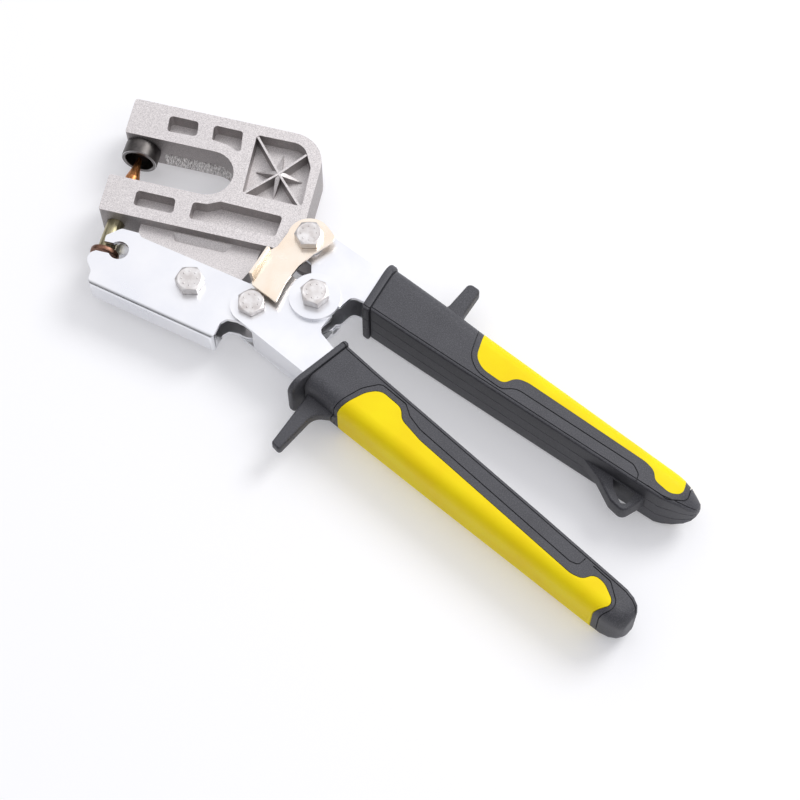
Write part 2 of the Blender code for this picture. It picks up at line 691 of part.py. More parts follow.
def build_bolt(name, body, pivot, angle, seat, top, nut_seat, nut_end, finish):
    """A hexagon bolt and its thin nut. The seats and ends are heights above the middle plane."""
    head = hexagon(pivot, angle)
    bolt = solid(f"{name}_bolt", body, lambda s: prism(s, head, seat, top), finish)
    combine(bolt, "UNION", body, lambda s: disc(s, pivot, SHANK, nut_end + 0.2, seat + 1))
    nut = solid(f"{name}_nut", body, lambda s: prism(s, head, nut_end, nut_seat), finish)
    combine(nut, "DIFFERENCE", body, lambda s: disc(s, pivot, HOLE, nut_end - 1, nut_seat + 1))


def build_ring(name, body, pivot, radius, low, high, finish):
    ring = solid(name, body, lambda s: disc(s, pivot, radius, low, high), finish)
    combine(ring, "DIFFERENCE", body, lambda s: disc(s, pivot, HOLE, low - 1, high + 1))


def build_fasteners(frame, upper, lower, zinc):
    build_bolt("lever_pivot", frame, LEVER_PIVOT, -75, 6.2, 10.2, -6.2, -9.4, zinc)
    build_bolt("link_pivot", lower, LINK_PIVOT, -105, DISC_IN, 10.4, -DISC_IN, -11.1, zinc)
    build_bolt("handle_pivot", upper, HANDLE_PIVOT, -93, 9.7, 13.6, -9.7, -12.2, zinc)
    build_bolt("frame_pivot", frame, FRAME_PIVOT, -75, 11.95, 15.4, -9.1, -12.2, zinc)
    shim = (WEB_HALF + GAP, LEVER_OUT)
    build_ring("frame_pivot_shim_front", frame, FRAME_PIVOT, 6.0, *shim, zinc)
    build_ring("frame_pivot_shim_back", frame, FRAME_PIVOT, 6.0, -shim[1], -shim[0], zinc)
    build_ring("frame_pivot_spacer_front", frame, FRAME_PIVOT, 6.0, DISC_IN, 10.45, zinc)
    build_ring("frame_pivot_washer_back", frame, FRAME_PIVOT, 6.3, -8.95, -DISC_IN, zinc)
    build_ring("handle_pivot_sleeve", upper, HANDLE_PIVOT, 5.0, -LEVER_OUT, LEVER_OUT, zinc)
    build_ring("link_pivot_sleeve", lower, LINK_PIVOT, 5.0, -WEB_HALF, WEB_HALF, zinc)


def set_down(root):
    """Moves the tool so that the bottom centre of its box is the world's origin."""
    bpy.context.view_layer.update()
    graph = bpy.context.evaluated_depsgraph_get()
    points = []
    for thing in bpy.context.scene.objects:
        if thing.type in ("MESH", "CURVE") and not thing.hide_render:
            seen = thing.evaluated_get(graph)
            points.extend(seen.matrix_world @ vertex.co for vertex in seen.to_mesh().vertices)
            seen.to_mesh_clear()
    low = Vector([min(point[axis] for point in points) for axis in range(3)])
    high = Vector([max(point[axis] for point in points) for axis in range(3)])
    root.location -= Vector(((low.x + high.x) / 2, (low.y + high.y) / 2, low.z))
    bpy.context.view_layer.update()


def main():
    clear_scene()
    cast = material("cast_aluminium", (0.62, 0.61, 0.59), 0.55, 1.0)
    zinc = material("zinc_plate", (0.78, 0.79, 0.8), 0.28, 1.0)
    chromate = material("yellow_chromate", (0.83, 0.72, 0.52), 0.3, 1.0)
    blackened = material("blackened_steel", (0.09, 0.085, 0.08), 0.4, 1.0)
    bronze = material("bronze_punch", (0.42, 0.26, 0.14), 0.35, 1.0)
    copper = material("copper_foot", (0.3, 0.16, 0.1), 0.4, 1.0)
    plastic = material("charcoal_plastic", (0.07, 0.068, 0.078), 0.5, 0.0)
    yellow = material("yellow_pad", (0.95, 0.72, 0.02), 0.45, 0.0)
    spring_steel = material("spring_steel", (0.5, 0.5, 0.5), 0.3, 1.0)

    root = empty("tool", LEVER_PIVOT)
    frame = empty("die_head", LEVER_PIVOT, root)
    lever = empty("lever_body", LEVER_PIVOT, root)
    upper = empty("upper_handle", FRAME_PIVOT, root)
    lower = empty("lower_handle", HANDLE_PIVOT, root)
    catch = empty("latch", FRAME_PIVOT, root)
    plunger = empty("punch_body", (PUNCH_X, 30.0), root)

    build_frame(frame, cast)
    build_die(frame, zinc, blackened)
    build_punch(plunger, bronze, copper)
    build_lever(lever, zinc)
    build_upper_channel(upper, zinc)
    build_lower_channel(lower, zinc)
    build_upper_grip(upper, plastic, yellow)
    build_lower_grip(lower, plastic, yellow)
    build_latch(catch, chromate)
    build_spring(upper, spring_steel)
    build_fasteners(frame, upper, lower, zinc)
    set_down(root)


main()
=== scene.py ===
"""Looks of the punch-lock pliers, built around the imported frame.

Outlines are millimetres in the tool's own plane, as in the part's source: its origin is the lever
pivot, +X runs along the jaws towards the handles, +Y is the punching direction and +Z is the front
face. place() turns a finished shape into metres in the frame.
"""

import json
import math

import bmesh
import bpy
from mathutils import Matrix, Vector, noise


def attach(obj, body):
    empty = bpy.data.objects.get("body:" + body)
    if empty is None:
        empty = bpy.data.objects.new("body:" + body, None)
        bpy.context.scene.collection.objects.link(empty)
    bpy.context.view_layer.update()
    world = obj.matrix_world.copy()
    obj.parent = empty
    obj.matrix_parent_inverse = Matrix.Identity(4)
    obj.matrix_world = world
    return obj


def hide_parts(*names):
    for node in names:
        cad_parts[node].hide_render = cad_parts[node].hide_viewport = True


MM = 0.001
# Degrees between the points of an outline's arc, and points round a turned piece.
ARC_STEP = 6.0
ROUND = 72

# Millimetres, as in the part's source.
LEVER_PIVOT = (0.0, 0.0)
LINK_PIVOT = (26.1, -3.8)
HANDLE_PIVOT = (49.2, 4.8)
FRAME_PIVOT = (40.5, 28.2)
UPPER_ANGLE = -23.5
LOWER_ANGLE = -28.1
WEB_HALF = 4.3
LEVER_OUT = 6.05
HANDLE_OUT = 7.8
DISC_IN = 7.95
TANG_END = 140.0
ACROSS_FLATS = 10.0
SHANK = 3.0
HOLE = 3.15
PUNCH_X = -38.3
CUP_MOUTH = 51.9
THROAT_CENTRE = (-7.3, 48.6)
THROAT_RADIUS = 10.3

# Camera: the direction it looks from, its distance, its lens and the point it aims at.
AZIMUTH = 14.4
ELEVATION = 64.0
DISTANCE = 0.760
LENS = 88.92
SENSOR = 36.0
AIM = Vector((90.4, -23.5, -5.06))

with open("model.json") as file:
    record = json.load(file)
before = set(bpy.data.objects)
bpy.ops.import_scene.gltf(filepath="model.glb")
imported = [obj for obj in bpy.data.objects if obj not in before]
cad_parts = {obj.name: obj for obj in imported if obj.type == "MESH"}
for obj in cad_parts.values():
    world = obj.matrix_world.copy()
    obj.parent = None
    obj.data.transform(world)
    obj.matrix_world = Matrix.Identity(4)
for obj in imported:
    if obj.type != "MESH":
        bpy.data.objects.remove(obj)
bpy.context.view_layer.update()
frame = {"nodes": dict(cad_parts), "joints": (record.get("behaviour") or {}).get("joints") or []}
pivots = {joint["name"]: joint.get("pos_m") for joint in frame["joints"]}
ORIGIN = Vector(pivots["punch_lever_swing"])
TO_FRAME = Matrix.Translation(ORIGIN) @ Matrix.Scale(MM, 4)


# Outlines ------------------------------------------------------------------------------------


def arc(centre, radius, start, end, step=ARC_STEP):
    """Points of a round stretch, from one angle to another in degrees."""
    steps = max(1, math.ceil(abs(end - start) / step))
    angles = [math.radians(start + (end - start) * k / steps) for k in range(steps + 1)]
    return [(centre[0] + radius * math.cos(a), centre[1] + radius * math.sin(a)) for a in angles]


def fillet(before, corner, after, radius):
    """Points of the round that takes the place of a corner."""
    corner = Vector(corner[:2])
    back = (Vector(before[:2]) - corner).normalized()
    ahead = (Vector(after[:2]) - corner).normalized()
    half = back.angle(ahead) / 2
    centre = corner + (back + ahead).normalized() * (radius / math.sin(half))
    first = corner + back * (radius / math.tan(half)) - centre
    last = corner + ahead * (radius / math.tan(half)) - centre
    start = math.degrees(math.atan2(first.y, first.x))
    turn = math.degrees(math.atan2(first.cross(last), first.dot(last)))
    return arc(centre, radius, start, start + turn)


def rounded(corners, closed=True):
    """Points of corners (x, y) and rounded corners (x, y, radius)."""
    points = []
    for index, corner in enumerate(corners):
        inside = closed or 0 < index < len(corners) - 1
        if len(corner) == 3 and inside:
            after = corners[(index + 1) % len(corners)]
            points.extend(fillet(corners[index - 1], corner, after, corner[2]))
        else:
            points.append(tuple(corner[:2]))
    return points


def normals_of(points, closed):
    """For each point, the direction to its right, long enough to offset both its sides by 1."""
    found = []
    for index, point in enumerate(points):
        here = Vector(point)
        ends = []
        if closed or index > 0:
            ends.append((here - Vector(points[index - 1])).normalized())
        if closed or index < len(points) - 1:
            ends.append((Vector(points[(index + 1) % len(points)]) - here).normalized())
        right = [Vector((along.y, -along.x)) for along in ends]
        between = right[0] + right[-1]
        found.append(between / (1 + right[0].dot(right[-1])))
    return found


def grown(points, distance):
    """The closed outline moved outward by a distance."""
    area = sum(a[0] * b[1] - b[0] * a[1] for a, b in zip(points, points[1:] + points[:1]))
    side = distance if area > 0 else -distance
    return [tuple(Vector(p) + n * side) for p, n in zip(points, normals_of(points, True))]


def strip(points, width):
    """The closed outline of a line of some width through points."""
    normals = normals_of(points, False)
    right = [tuple(Vector(p) + n * (width / 2)) for p, n in zip(points, normals)]
    left = [tuple(Vector(p) - n * (width / 2)) for p, n in zip(points, normals)]
    return right + left[::-1]


def turned_by(angle, corners):
    """Corners given along and across a handle, as corners in the tool's plane."""
    cos, sin = math.cos(math.radians(angle)), math.sin(math.radians(angle))
    return [(s * cos - n * sin, s * sin + n * cos, *rest) for s, n, *rest in corners]


# Solids, each added to a bmesh -----------------------------------------------------------------


def prism(shape, points, low, high):
    """The solid of an outline between two heights."""
    face = shape.faces.new([shape.verts.new((x, y, low)) for x, y in points])
    made = bmesh.ops.extrude_face_region(shape, geom=[face])["geom"]
    top = [part for part in made if isinstance(part, bmesh.types.BMVert)]
    bmesh.ops.translate(shape, verts=top, vec=(0, 0, high - low))


def bridge(shape, rings, closed=False):
    """The solid through rings of equally many points. A closed one joins its last ring to its first."""
    rows = [[shape.verts.new(point) for point in ring] for ring in rings]
    after = rows[1:] + (rows[:1] if closed else [])
    for low, high in zip(rows, after):
        for index in range(len(low)):
            shape.faces.new((low[index - 1], low[index], high[index], high[index - 1]))
    if not closed:
        shape.faces.new(rows[0])
        shape.faces.new(rows[-1])


def around(count):
    """Equal steps round a full turn, in radians."""
    return [2 * math.pi * k / count for k in range(count)]


def punch_ring(radii, angles, y):
    """Points round the punch's line, each at its own radius."""
    return [(PUNCH_X + r * math.cos(a), y, r * math.sin(a)) for r, a in zip(radii, angles)]


def turned_y(shape, profile, closed=False):
    """The solid of (radius, y) points turned about the punch's line."""
    bridge(shape, [punch_ring([r] * ROUND, around(ROUND), y) for r, y in profile], closed)


def turned_z(shape, profile, centre, closed=False):
    """The solid of (radius, z) points turned about a pivot."""
    rings = [
        [(centre[0] + r * math.cos(a), centre[1] + r * math.sin(a), z) for a in around(ROUND)]
        for r, z in profile
    ]
    bridge(shape, rings, closed)


# Objects ---------------------------------------------------------------------------------------


def linked(name, data):
    """A new object in the scene."""
    made = bpy.data.objects.new(name, data)
    bpy.context.scene.collection.objects.link(made)
    return made


def object_of(name, shape):
    """A new object with a finished bmesh."""
    mesh = bpy.data.meshes.new(name)
    shape.to_mesh(mesh)
    shape.free()
    return linked(name, mesh)


def helper(name, build):
    """An object in the tool's plane, in millimetres."""
    shape = bmesh.new()
    build(shape)
    bmesh.ops.recalc_face_normals(shape, faces=shape.faces)
    return object_of(name, shape)


def discard(thing):
    mesh = thing.data
    bpy.data.objects.remove(thing)
    bpy.data.meshes.remove(mesh)


def combine(target, operation, *builds):
    """Joins, cuts or keeps the overlap of an object with each shape, and applies it."""
    for build in builds:
        other = build if isinstance(build, bpy.types.Object) else helper("cutter", build)
        step = target.modifiers.new("step", "BOOLEAN")
        step.operation = operation
        step.solver = "EXACT"
        step.object = other
        graph = bpy.context.evaluated_depsgraph_get()
        result = bpy.data.meshes.new_from_object(target.evaluated_get(graph))
        target.modifiers.remove(step)
        old = target.data
        target.data = result
        bpy.data.meshes.remove(old)
        discard(other)
    return target


def place(thing, finish, body, nodes, sharp=32.0):
    """Puts a finished shape in the frame, on its body, in place of its CAD nodes."""
    mesh = thing.data
    mesh.transform(TO_FRAME)
    mesh.materials.clear()
    mesh.materials.append(finish)
    mesh.shade_smooth()
    mesh.set_sharp_from_angle(angle=math.radians(sharp))
    flatter = thing.modifiers.new("flat_faces_stay_flat", "WEIGHTED_NORMAL")
    flatter.keep_sharp = True
    flatter.weight = 90
    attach(thing, body)
    if nodes:
        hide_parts(*nodes)


# Millimetres: CAD corners this near each other are one, and an edge this near a line lies on it.
MERGE = 0.003
NEAR = 0.05


def from_node(name, node):
    """A copy of a CAD node in the tool's plane, with its triangles merged into flat faces."""
    shape = bmesh.new()
    shape.from_mesh(frame["nodes"][node].data)
    bmesh.ops.transform(shape, matrix=TO_FRAME.inverted(), verts=shape.verts)
    bmesh.ops.remove_doubles(shape, verts=shape.verts, dist=MERGE)
    bmesh.ops.dissolve_limit(
        shape, angle_limit=math.radians(1.0), verts=shape.verts, edges=shape.edges
    )
    return object_of(name, shape)


def soften(thing, width, segments=2, angle=34.0, chosen=None):
    """Rounds the edges sharper than an angle, or only the chosen ones."""
    shape = bmesh.new()
    shape.from_mesh(thing.data)
    limit = math.radians(angle)
    edges = [
        edge for edge in shape.edges
        if len(edge.link_faces) == 2 and edge.calc_face_angle(0) > limit
        and (chosen is None or chosen(edge))
    ]
    bmesh.ops.bevel(
        shape, geom=edges, offset=width, segments=segments, profile=0.5, affect="EDGES",
        clamp_overlap=True, loop_slide=True,
    )
    bmesh.ops.recalc_face_normals(shape, faces=shape.faces)
    shape.to_mesh(thing.data)
    shape.free()
    return thing


def along_line(start, end, height):
    """Tells whether an edge lies on a line in the plane, at a height or its mirror image."""
    first, last = Vector(start), Vector(end)
    way = (last - first).normalized()

    def chosen(edge):
        for vertex in edge.verts:
            away = Vector(vertex.co[:2]) - first
            if abs(away.cross(way)) > NEAR or abs(abs(vertex.co.z) - height) > NEAR:
                return False
        return True

    return chosen


# Materials -------------------------------------------------------------------------------------


class Finish:
    """A Principled material with the nodes that give its surface."""

    def __init__(self, name, roughness, metallic, **constants):
        self.material = bpy.data.materials.new(name)
        self.material.use_nodes = True
        self.tree = self.material.node_tree
        self.surface = self.tree.nodes["Principled BSDF"]
        self.surface.inputs["Metallic"].default_value = metallic
        self.surface.inputs["Roughness"].default_value = roughness
        for socket, value in constants.items():
            self.surface.inputs[socket.replace("_", " ")].default_value = value
        self.where = self.tree.nodes.new("ShaderNodeTexCoord").outputs["Object"]
        self.normal = None

    def link(self, source, target):
        self.tree.links.new(source, target)

    def stretched(self, scale, angle=0.0):
        """The place on the surface, scaled for a grain that runs one way."""
        node = self.tree.nodes.new("ShaderNodeMapping")
        node.inputs["Scale"].default_value = scale
        node.inputs["Rotation"].default_value = (0, 0, math.radians(angle))
        self.link(self.where, node.inputs["Vector"])
        return node.outputs["Vector"]

    def noise(self, scale, detail=4.0, rough=0.6, where=None):
        node = self.tree.nodes.new("ShaderNodeTexNoise")
        node.inputs["Scale"].default_value = scale
        node.inputs["Detail"].default_value = detail
        node.inputs["Roughness"].default_value = rough
        self.link(where or self.where, node.inputs["Vector"])
        return node.outputs["Fac"]

    def along_punch(self):
        """The place along the punching direction, in the frame's metres."""
        split = self.tree.nodes.new("ShaderNodeSeparateXYZ")
        self.link(self.where, split.inputs["Vector"])
        return split.outputs["Y"]

    def flatness(self):
        """Whole on faces parallel to the tool's plane, and none on walls that stand up from it."""
        split = self.tree.nodes.new("ShaderNodeSeparateXYZ")
        coordinates = self.tree.nodes.new("ShaderNodeTexCoord")
        self.link(coordinates.outputs["Normal"], split.inputs["Vector"])
        upright = self.tree.nodes.new("ShaderNodeMath")
        upright.operation = "ABSOLUTE"
        self.link(split.outputs["Z"], upright.inputs[0])
        return self.spread(upright.outputs["Value"], 0.0, 1.0, 0.25, 0.8)

    def ramp(self, source, *stops):
        """Colours by the value of a texture: (place, colour) stops."""
        node = self.tree.nodes.new("ShaderNodeValToRGB")
        ramp = node.color_ramp
        while len(ramp.elements) < len(stops):
            ramp.elements.new(0.5)
        for element, (at, colour) in zip(ramp.elements, stops):
            element.position = at
            element.color = (*colour, 1)
        self.link(source, node.inputs["Fac"])
        return node.outputs["Color"]

    def spread(self, source, low, high, first=0.3, last=0.7):
        """A value that goes from low to high while its source goes from first to last."""
        node = self.tree.nodes.new("ShaderNodeMapRange")
        node.inputs["From Min"].default_value = first
        node.inputs["From Max"].default_value = last
        node.inputs["To Min"].default_value = low
        node.inputs["To Max"].default_value = high
        self.link(source, node.inputs["Value"])
        return node.outputs["Result"]

    def mix(self, factor, first, second):
        """The first colour where the factor is none, and the second where it is whole."""
        node = self.tree.nodes.new("ShaderNodeMix")
        node.data_type = "RGBA"
        self.link(factor, node.inputs[0])
        for source, target in ((first, node.inputs[6]), (second, node.inputs[7])):
            if isinstance(source, tuple):
                target.default_value = (*source, 1)
            else:
                self.link(source, target)
        return node.outputs[2]

    def bump(self, source, height, strength=1.0):
        """Adds relief, whose height is in millimetres."""
        node = self.tree.nodes.new("ShaderNodeBump")
        node.inputs["Strength"].default_value = strength
        node.inputs["Distance"].default_value = height * MM
        self.link(source, node.inputs["Height"])
        if self.normal:
            self.link(self.normal, node.inputs["Normal"])
        self.normal = node.outputs["Normal"]
        self.link(self.normal, self.surface.inputs["Normal"])

    def colour(self, source):
        self.link(source, self.surface.inputs["Base Color"])

    def roughness(self, source):
        self.link(source, self.surface.inputs["Roughness"])


def frame_y(y):
    """A height in the tool's plane, in the frame's metres."""
    return ORIGIN.y + y * MM


def cast_aluminium():
    """Sand-blasted casting, with bright flat faces and painted shade on the walls between them."""
    look = Finish("cast_aluminium", 0.5, 0.75)
    grain = look.noise(2600, 3, 0.7)
    cloud = look.noise(60, 3, 0.5)
    light = look.ramp(grain, (0.32, (0.46, 0.43, 0.43)), (0.68, (0.95, 0.91, 0.90)))
    faced = look.mix(look.spread(cloud, 0.0, 0.3), light, (0.70, 0.665, 0.66))
    # Walls that stand up from the tool's plane get a darker colour than the flat faces: painted shade.
    painted_wall_shade = look.ramp(grain, (0.3, (0.27, 0.25, 0.25)), (0.7, (0.58, 0.55, 0.545)))
    look.colour(look.mix(look.flatness(), painted_wall_shade, faced))
    look.roughness(look.spread(grain, 0.46, 0.62))
    look.bump(grain, 0.05, 0.7)
    look.bump(look.noise(420, 2, 0.5), 0.04, 0.5)
    return look.material


def flash_aluminium():
    """The torn skin of the casting inside the throat."""
    look = Finish("flash_aluminium", 0.5, 0.75)
    tear = look.noise(1.0, 4, 0.7, look.stretched((2600, 2600, 380)))
    look.colour(look.ramp(tear, (0.38, (0.16, 0.145, 0.14)), (0.6, (0.97, 0.95, 0.94))))
    look.roughness(look.spread(tear, 0.4, 0.6))
    look.bump(tear, 0.12, 0.9)
    return look.material


def zinc_plate():
    look = Finish("zinc_plate", 0.24, 1.0)
    drawn = look.noise(1.0, 3, 0.6, look.stretched((700, 5000, 2000), -25))
    cloud = look.noise(45, 4, 0.55)
    look.colour(look.ramp(cloud, (0.25, (0.82, 0.83, 0.87)), (0.75, (0.93, 0.93, 0.94))))
    look.roughness(look.spread(cloud, 0.26, 0.36))
    look.bump(drawn, 0.004, 0.4)
    look.bump(look.noise(900, 2, 0.5), 0.003, 0.4)
    return look.material


def fastener_zinc():
    look = Finish("fastener_zinc", 0.36, 1.0)
    grain = look.noise(1500, 4, 0.65)
    cloud = look.noise(300, 3, 0.5)
    look.colour(look.ramp(cloud, (0.3, (0.62, 0.58, 0.56)), (0.7, (0.86, 0.84, 0.83))))
    look.roughness(look.spread(grain, 0.26, 0.5))
    look.bump(grain, 0.06, 0.7)
    return look.material


def yellow_chromate():
    look = Finish("yellow_chromate", 0.26, 1.0)
    cloud = look.noise(70, 3, 0.5)
    bands = look.noise(1.0, 2, 0.5, look.stretched((180, 40, 60), 35))
    peach = look.ramp(
        cloud, (0.25, (0.90, 0.73, 0.56)), (0.55, (0.96, 0.85, 0.72)), (0.8, (0.93, 0.86, 0.70))
    )
    look.colour(look.mix(look.spread(bands, 0.0, 0.4), peach, (0.97, 0.91, 0.82)))
    look.roughness(look.spread(cloud, 0.2, 0.32))
    look.bump(look.noise(900, 3, 0.6), 0.015, 0.5)
    return look.material


def blackened_steel():
    """Black oxide, bright on the chamfers of the cup's mouth: wear there, together with a painted
    highlight along its edge.
    """
    look = Finish("blackened_steel", 0.4, 1.0)
    turning = look.noise(1.0, 3, 0.6, look.stretched((300, 5200, 300)))
    cloud = look.noise(220, 4, 0.6)
    black = look.ramp(cloud, (0.3, (0.06, 0.056, 0.055)), (0.7, (0.16, 0.148, 0.142)))
    # Just above the mouth the colour turns bright grey: worn metal, and a painted highlight along the
    # edge.
    y = look.along_punch()
    mouth = look.spread(y, 1.0, 0.0, frame_y(CUP_MOUTH + 0.1), frame_y(CUP_MOUTH + 0.3))
    face = look.spread(y, 0.25, 1.0, frame_y(CUP_MOUTH + 0.02), frame_y(CUP_MOUTH + 0.07))
    bright = look.mix(face, (0.10, 0.095, 0.09), (0.62, 0.61, 0.62))
    look.colour(look.mix(mouth, black, bright))
    look.roughness(look.spread(cloud, 0.3, 0.5))
    look.bump(turning, 0.03, 0.6)
    return look.material


def punch_bronze():
    """Copper-brown towards the tip and olive brass in the guide, with wear along its length."""
    look = Finish("punch_bronze", 0.34, 1.0)
    wear = look.noise(1.0, 4, 0.65, look.stretched((1800, 260, 1800)))
    height = look.spread(look.along_punch(), 0.0, 1.0, frame_y(30.0), frame_y(42.0))
    brass = look.ramp(wear, (0.3, (0.20, 0.18, 0.10)), (0.7, (0.60, 0.54, 0.36)))
    copper = look.ramp(wear, (0.3, (0.26, 0.09, 0.03)), (0.7, (0.72, 0.33, 0.13)))
    look.colour(look.mix(height, brass, copper))
    look.roughness(look.spread(wear, 0.26, 0.46))
    look.bump(wear, 0.04, 0.6)
    return look.material


def copper_foot():
    look = Finish("copper_foot", 0.36, 1.0)
    wear = look.noise(700, 4, 0.65)
    look.colour(look.ramp(wear, (0.3, (0.10, 0.055, 0.04)), (0.7, (0.36, 0.19, 0.13))))
    look.roughness(look.spread(wear, 0.28, 0.5))
    look.bump(wear, 0.04, 0.6)
    return look.material


def charcoal_plastic():
    """Spark-eroded moulding: a fine even grain with a faint sheen."""
    look = Finish("charcoal_plastic", 0.5, 0.0, Specular_IOR_Level=0.45)
    grain = look.noise(2400, 3, 0.7)
    cloud = look.noise(90, 3, 0.5)
    base = look.ramp(cloud, (0.3, (0.050, 0.050, 0.058)), (0.7, (0.066, 0.066, 0.076)))
    speck = look.ramp(grain, (0.38, (0.028, 0.028, 0.034)), (0.7, (0.15, 0.15, 0.165)))
    look.colour(look.mix(look.spread(grain, 0.15, 0.75), base, speck))
    look.roughness(look.spread(grain, 0.42, 0.6))
    look.bump(grain, 0.06, 0.7)
    return look.material


def yellow_rubber():
    """Soft satin overmould, a little deeper in colour where it is thin."""
    look = Finish(
        "yellow_rubber", 0.52, 0.0, Specular_IOR_Level=0.22, Subsurface_Weight=0.05,
        Subsurface_Radius=(0.002, 0.0015, 0.0004),
    )
    cloud = look.noise(55, 3, 0.5)
    grain = look.noise(1500, 2, 0.6)
    look.colour(look.ramp(cloud, (0.3, (0.95, 0.70, 0.001)), (0.7, (0.98, 0.79, 0.002))))
    look.roughness(look.spread(grain, 0.46, 0.6))
    look.bump(grain, 0.02, 0.5)
    look.bump(look.noise(120, 2, 0.5), 0.05, 0.3)
    return look.material


def spring_steel():
    look = Finish("spring_steel", 0.3, 1.0)
    drawn = look.noise(1800, 3, 0.6)
    look.colour(look.ramp(drawn, (0.3, (0.36, 0.36, 0.37)), (0.7, (0.62, 0.62, 0.63))))
    look.roughness(look.spread(drawn, 0.24, 0.4))
    look.bump(drawn, 0.01, 0.4)
    return look.material


# Die head and punch ------------------------------------------------------------------------------

CAST_ROUND = 0.45
# The flash runs from the jaw's mouth along the throat's straight wall and then round its arc.
# It reaches back from a torn edge near one depth of the wall to another depth.
FLASH_START = -29.5
FLASH_LENGTH = 22.0
FLASH_STEP = 0.25
FLASH_FRONT = -1.2
FLASH_BACK = -8.6
FLASH_ROWS = 14


def dress_frame(cast, flash):
    casting = soften(from_node("frame_casting", "die_frame"), CAST_ROUND, 3)
    place(casting, cast, "die_head", ["die_frame"])
    torn = helper("throat_flash", throat_flash)
    place(torn, flash, "die_head", [], 60.0)


def throat_flash(shape):
    """A torn skin on the throat's wall, from the casting's parting line to the back."""
    count = round(FLASH_LENGTH / FLASH_STEP) + 1
    wall = THROAT_CENTRE[1] + THROAT_RADIUS
    path = [(FLASH_START + FLASH_STEP * k, wall) for k in range(count)]
    path += arc(THROAT_CENTRE, THROAT_RADIUS, 89, -30, 1.6)
    inward = normals_of(path, False)
    rings = []
    for index, (point, normal) in enumerate(zip(path, inward)):
        edge = FLASH_FRONT + 2.2 * noise.noise((index * 0.37, 0.0, 5.0))
        ring = []
        for row in range(FLASH_ROWS + 1):
            z = edge + (FLASH_BACK - edge) * row / FLASH_ROWS
            fade = min(1.0, row / 2, (FLASH_ROWS - row) / 2)
            seed = (index * 0.9, z * 0.55, 2.0)
            tear = 0.05 + fade * (0.22 + 0.34 * noise.noise(seed))
            inside = Vector(point) + normal * max(0.02, tear)
            ring.append((*inside, z))
        under = Vector(point) - normal * 0.4
        ring += [(*under, FLASH_BACK), (*under, edge)]
        rings.append(ring)
    bridge(shape, rings)


# The die screw's hexagon socket: half its width across corners, its floor, and past its mouth.
SOCKET_CORNER = 1.7
SOCKET_FLOOR = 72.8
SOCKET_TOP = 76.0


def dress_die(black, zinc):
    """The cup with its stem, and the screw that holds it from the top of the jaw."""
    cup = [
        (4.0, 66.0), (4.0, 58.6), (7.15, 58.6), (7.35, 58.3), (7.4, 52.6), (7.25, 52.1),
        (6.95, CUP_MOUTH), (6.1, CUP_MOUTH), (5.8, 52.3), (5.8, 57.2), (2.7, 57.2), (2.7, 65.9),
    ]
    made = helper("die_cup_turned", lambda s: turned_y(s, cup, True))
    place(made, black, "die_head", ["die_cup"])
    screw = [(2.4, 60.4), (2.4, 71.5), (4.0, 71.5), (4.2, 71.7), (4.2, 74.7), (3.8, 75.2)]
    made = helper("die_screw_turned", lambda s: turned_y(s, screw))
    socket = [
        punch_ring([SOCKET_CORNER] * 6, around(6), y) for y in (SOCKET_FLOOR, SOCKET_TOP)
    ]
    combine(made, "DIFFERENCE", lambda s: bridge(s, socket))
    place(made, zinc, "die_head", ["die_screw"])


# The tip's ground faces: how many, which way the first corner looks, and their corners' reach
# beyond the turned tip.
TIP_FACES = 4
TIP_TURN = math.radians(70)
TIP_REACH = 1.12


def facet_reach(angle, share):
    """How far the tip reaches towards an angle: a circle at no share, flat faces at a whole one."""
    step = 2 * math.pi / TIP_FACES
    off = (angle - TIP_TURN) % step - step / 2
    flat = math.cos(step / 2) / math.cos(off)
    return 1 + share * (TIP_REACH * flat - 1)


def dress_punch(bronze, copper):
    """The pin, with its tip ground to four faces, and its foot."""
    pin = [(2.4, 6.4), (2.4, 8.6), (3.3, 8.6), (3.5, 8.8), (3.5, 33.5), (2.95, 34.2), (2.95, 43.6)]
    tip = [(2.9, 43.9), (2.2, 46.4), (1.45, 49.2), (1.15, 51.6), (0.65, 53.7)]

    def pointed(shape):
        angles = around(ROUND)
        rings = [punch_ring([r] * ROUND, angles, y) for r, y in pin]
        for k, (r, y) in enumerate(tip):
            radii = [r * facet_reach(a, k / len(tip)) for a in angles]
            rings.append(punch_ring(radii, angles, y))
        bridge(shape, rings)

    made = helper("punch_pin", pointed)
    place(made, bronze, "punch", ["punch"])
    rim = [
        (2.7, 6.3), (5.2, 6.3), (5.65, 6.5), (5.8, 6.9), (5.8, 7.9), (5.65, 8.25), (5.2, 8.45),
        (2.7, 8.45),
    ]
    made = helper("punch_foot_turned", lambda s: turned_y(s, rim, True))
    place(made, copper, "punch", ["punch_foot"])


# Sheet-metal levers ------------------------------------------------------------------------------

# The outer radius of a bend in the sheet, and the width of a broken edge.
BEND = 1.9
BROKEN_EDGE = 0.18
LATCH_EDGE = 0.2


def dress_pressing(name, node, body, bent, zinc):
    """A pressed channel, with round bends at its bent edges and broken edges elsewhere."""
    made = from_node(name, node)
    soften(made, BEND, 6, 34.0, bent)
    soften(made, BROKEN_EDGE, 2, 40.0)
    place(made, zinc, body, [node])


def dress_lever(zinc):
    web = along_line((15.2, -21.2), (-39.1, -9.5), LEVER_OUT)
    dress_pressing("lever_pressing", "punch_lever", "punch_lever", web, zinc)


def dress_channels(zinc):
    start, end = turned_by(UPPER_ANGLE, [(0.0, 49.6), (66.0, 49.6)])
    upper = along_line(start, end, HANDLE_OUT)

    def behind_pivots(edge):
        return upper(edge) and min(vertex.co.x for vertex in edge.verts) > 50

    dress_pressing(
        "upper_channel_pressing", "upper_handle_channel", "upper_handle", behind_pivots, zinc
    )
    lower = along_line((29.3, -14.8), turned_by(LOWER_ANGLE, [(68.0, 1.2)])[0], HANDLE_OUT)
    dress_pressing("lower_channel_pressing", "lower_handle_channel", "lower_handle", lower, zinc)


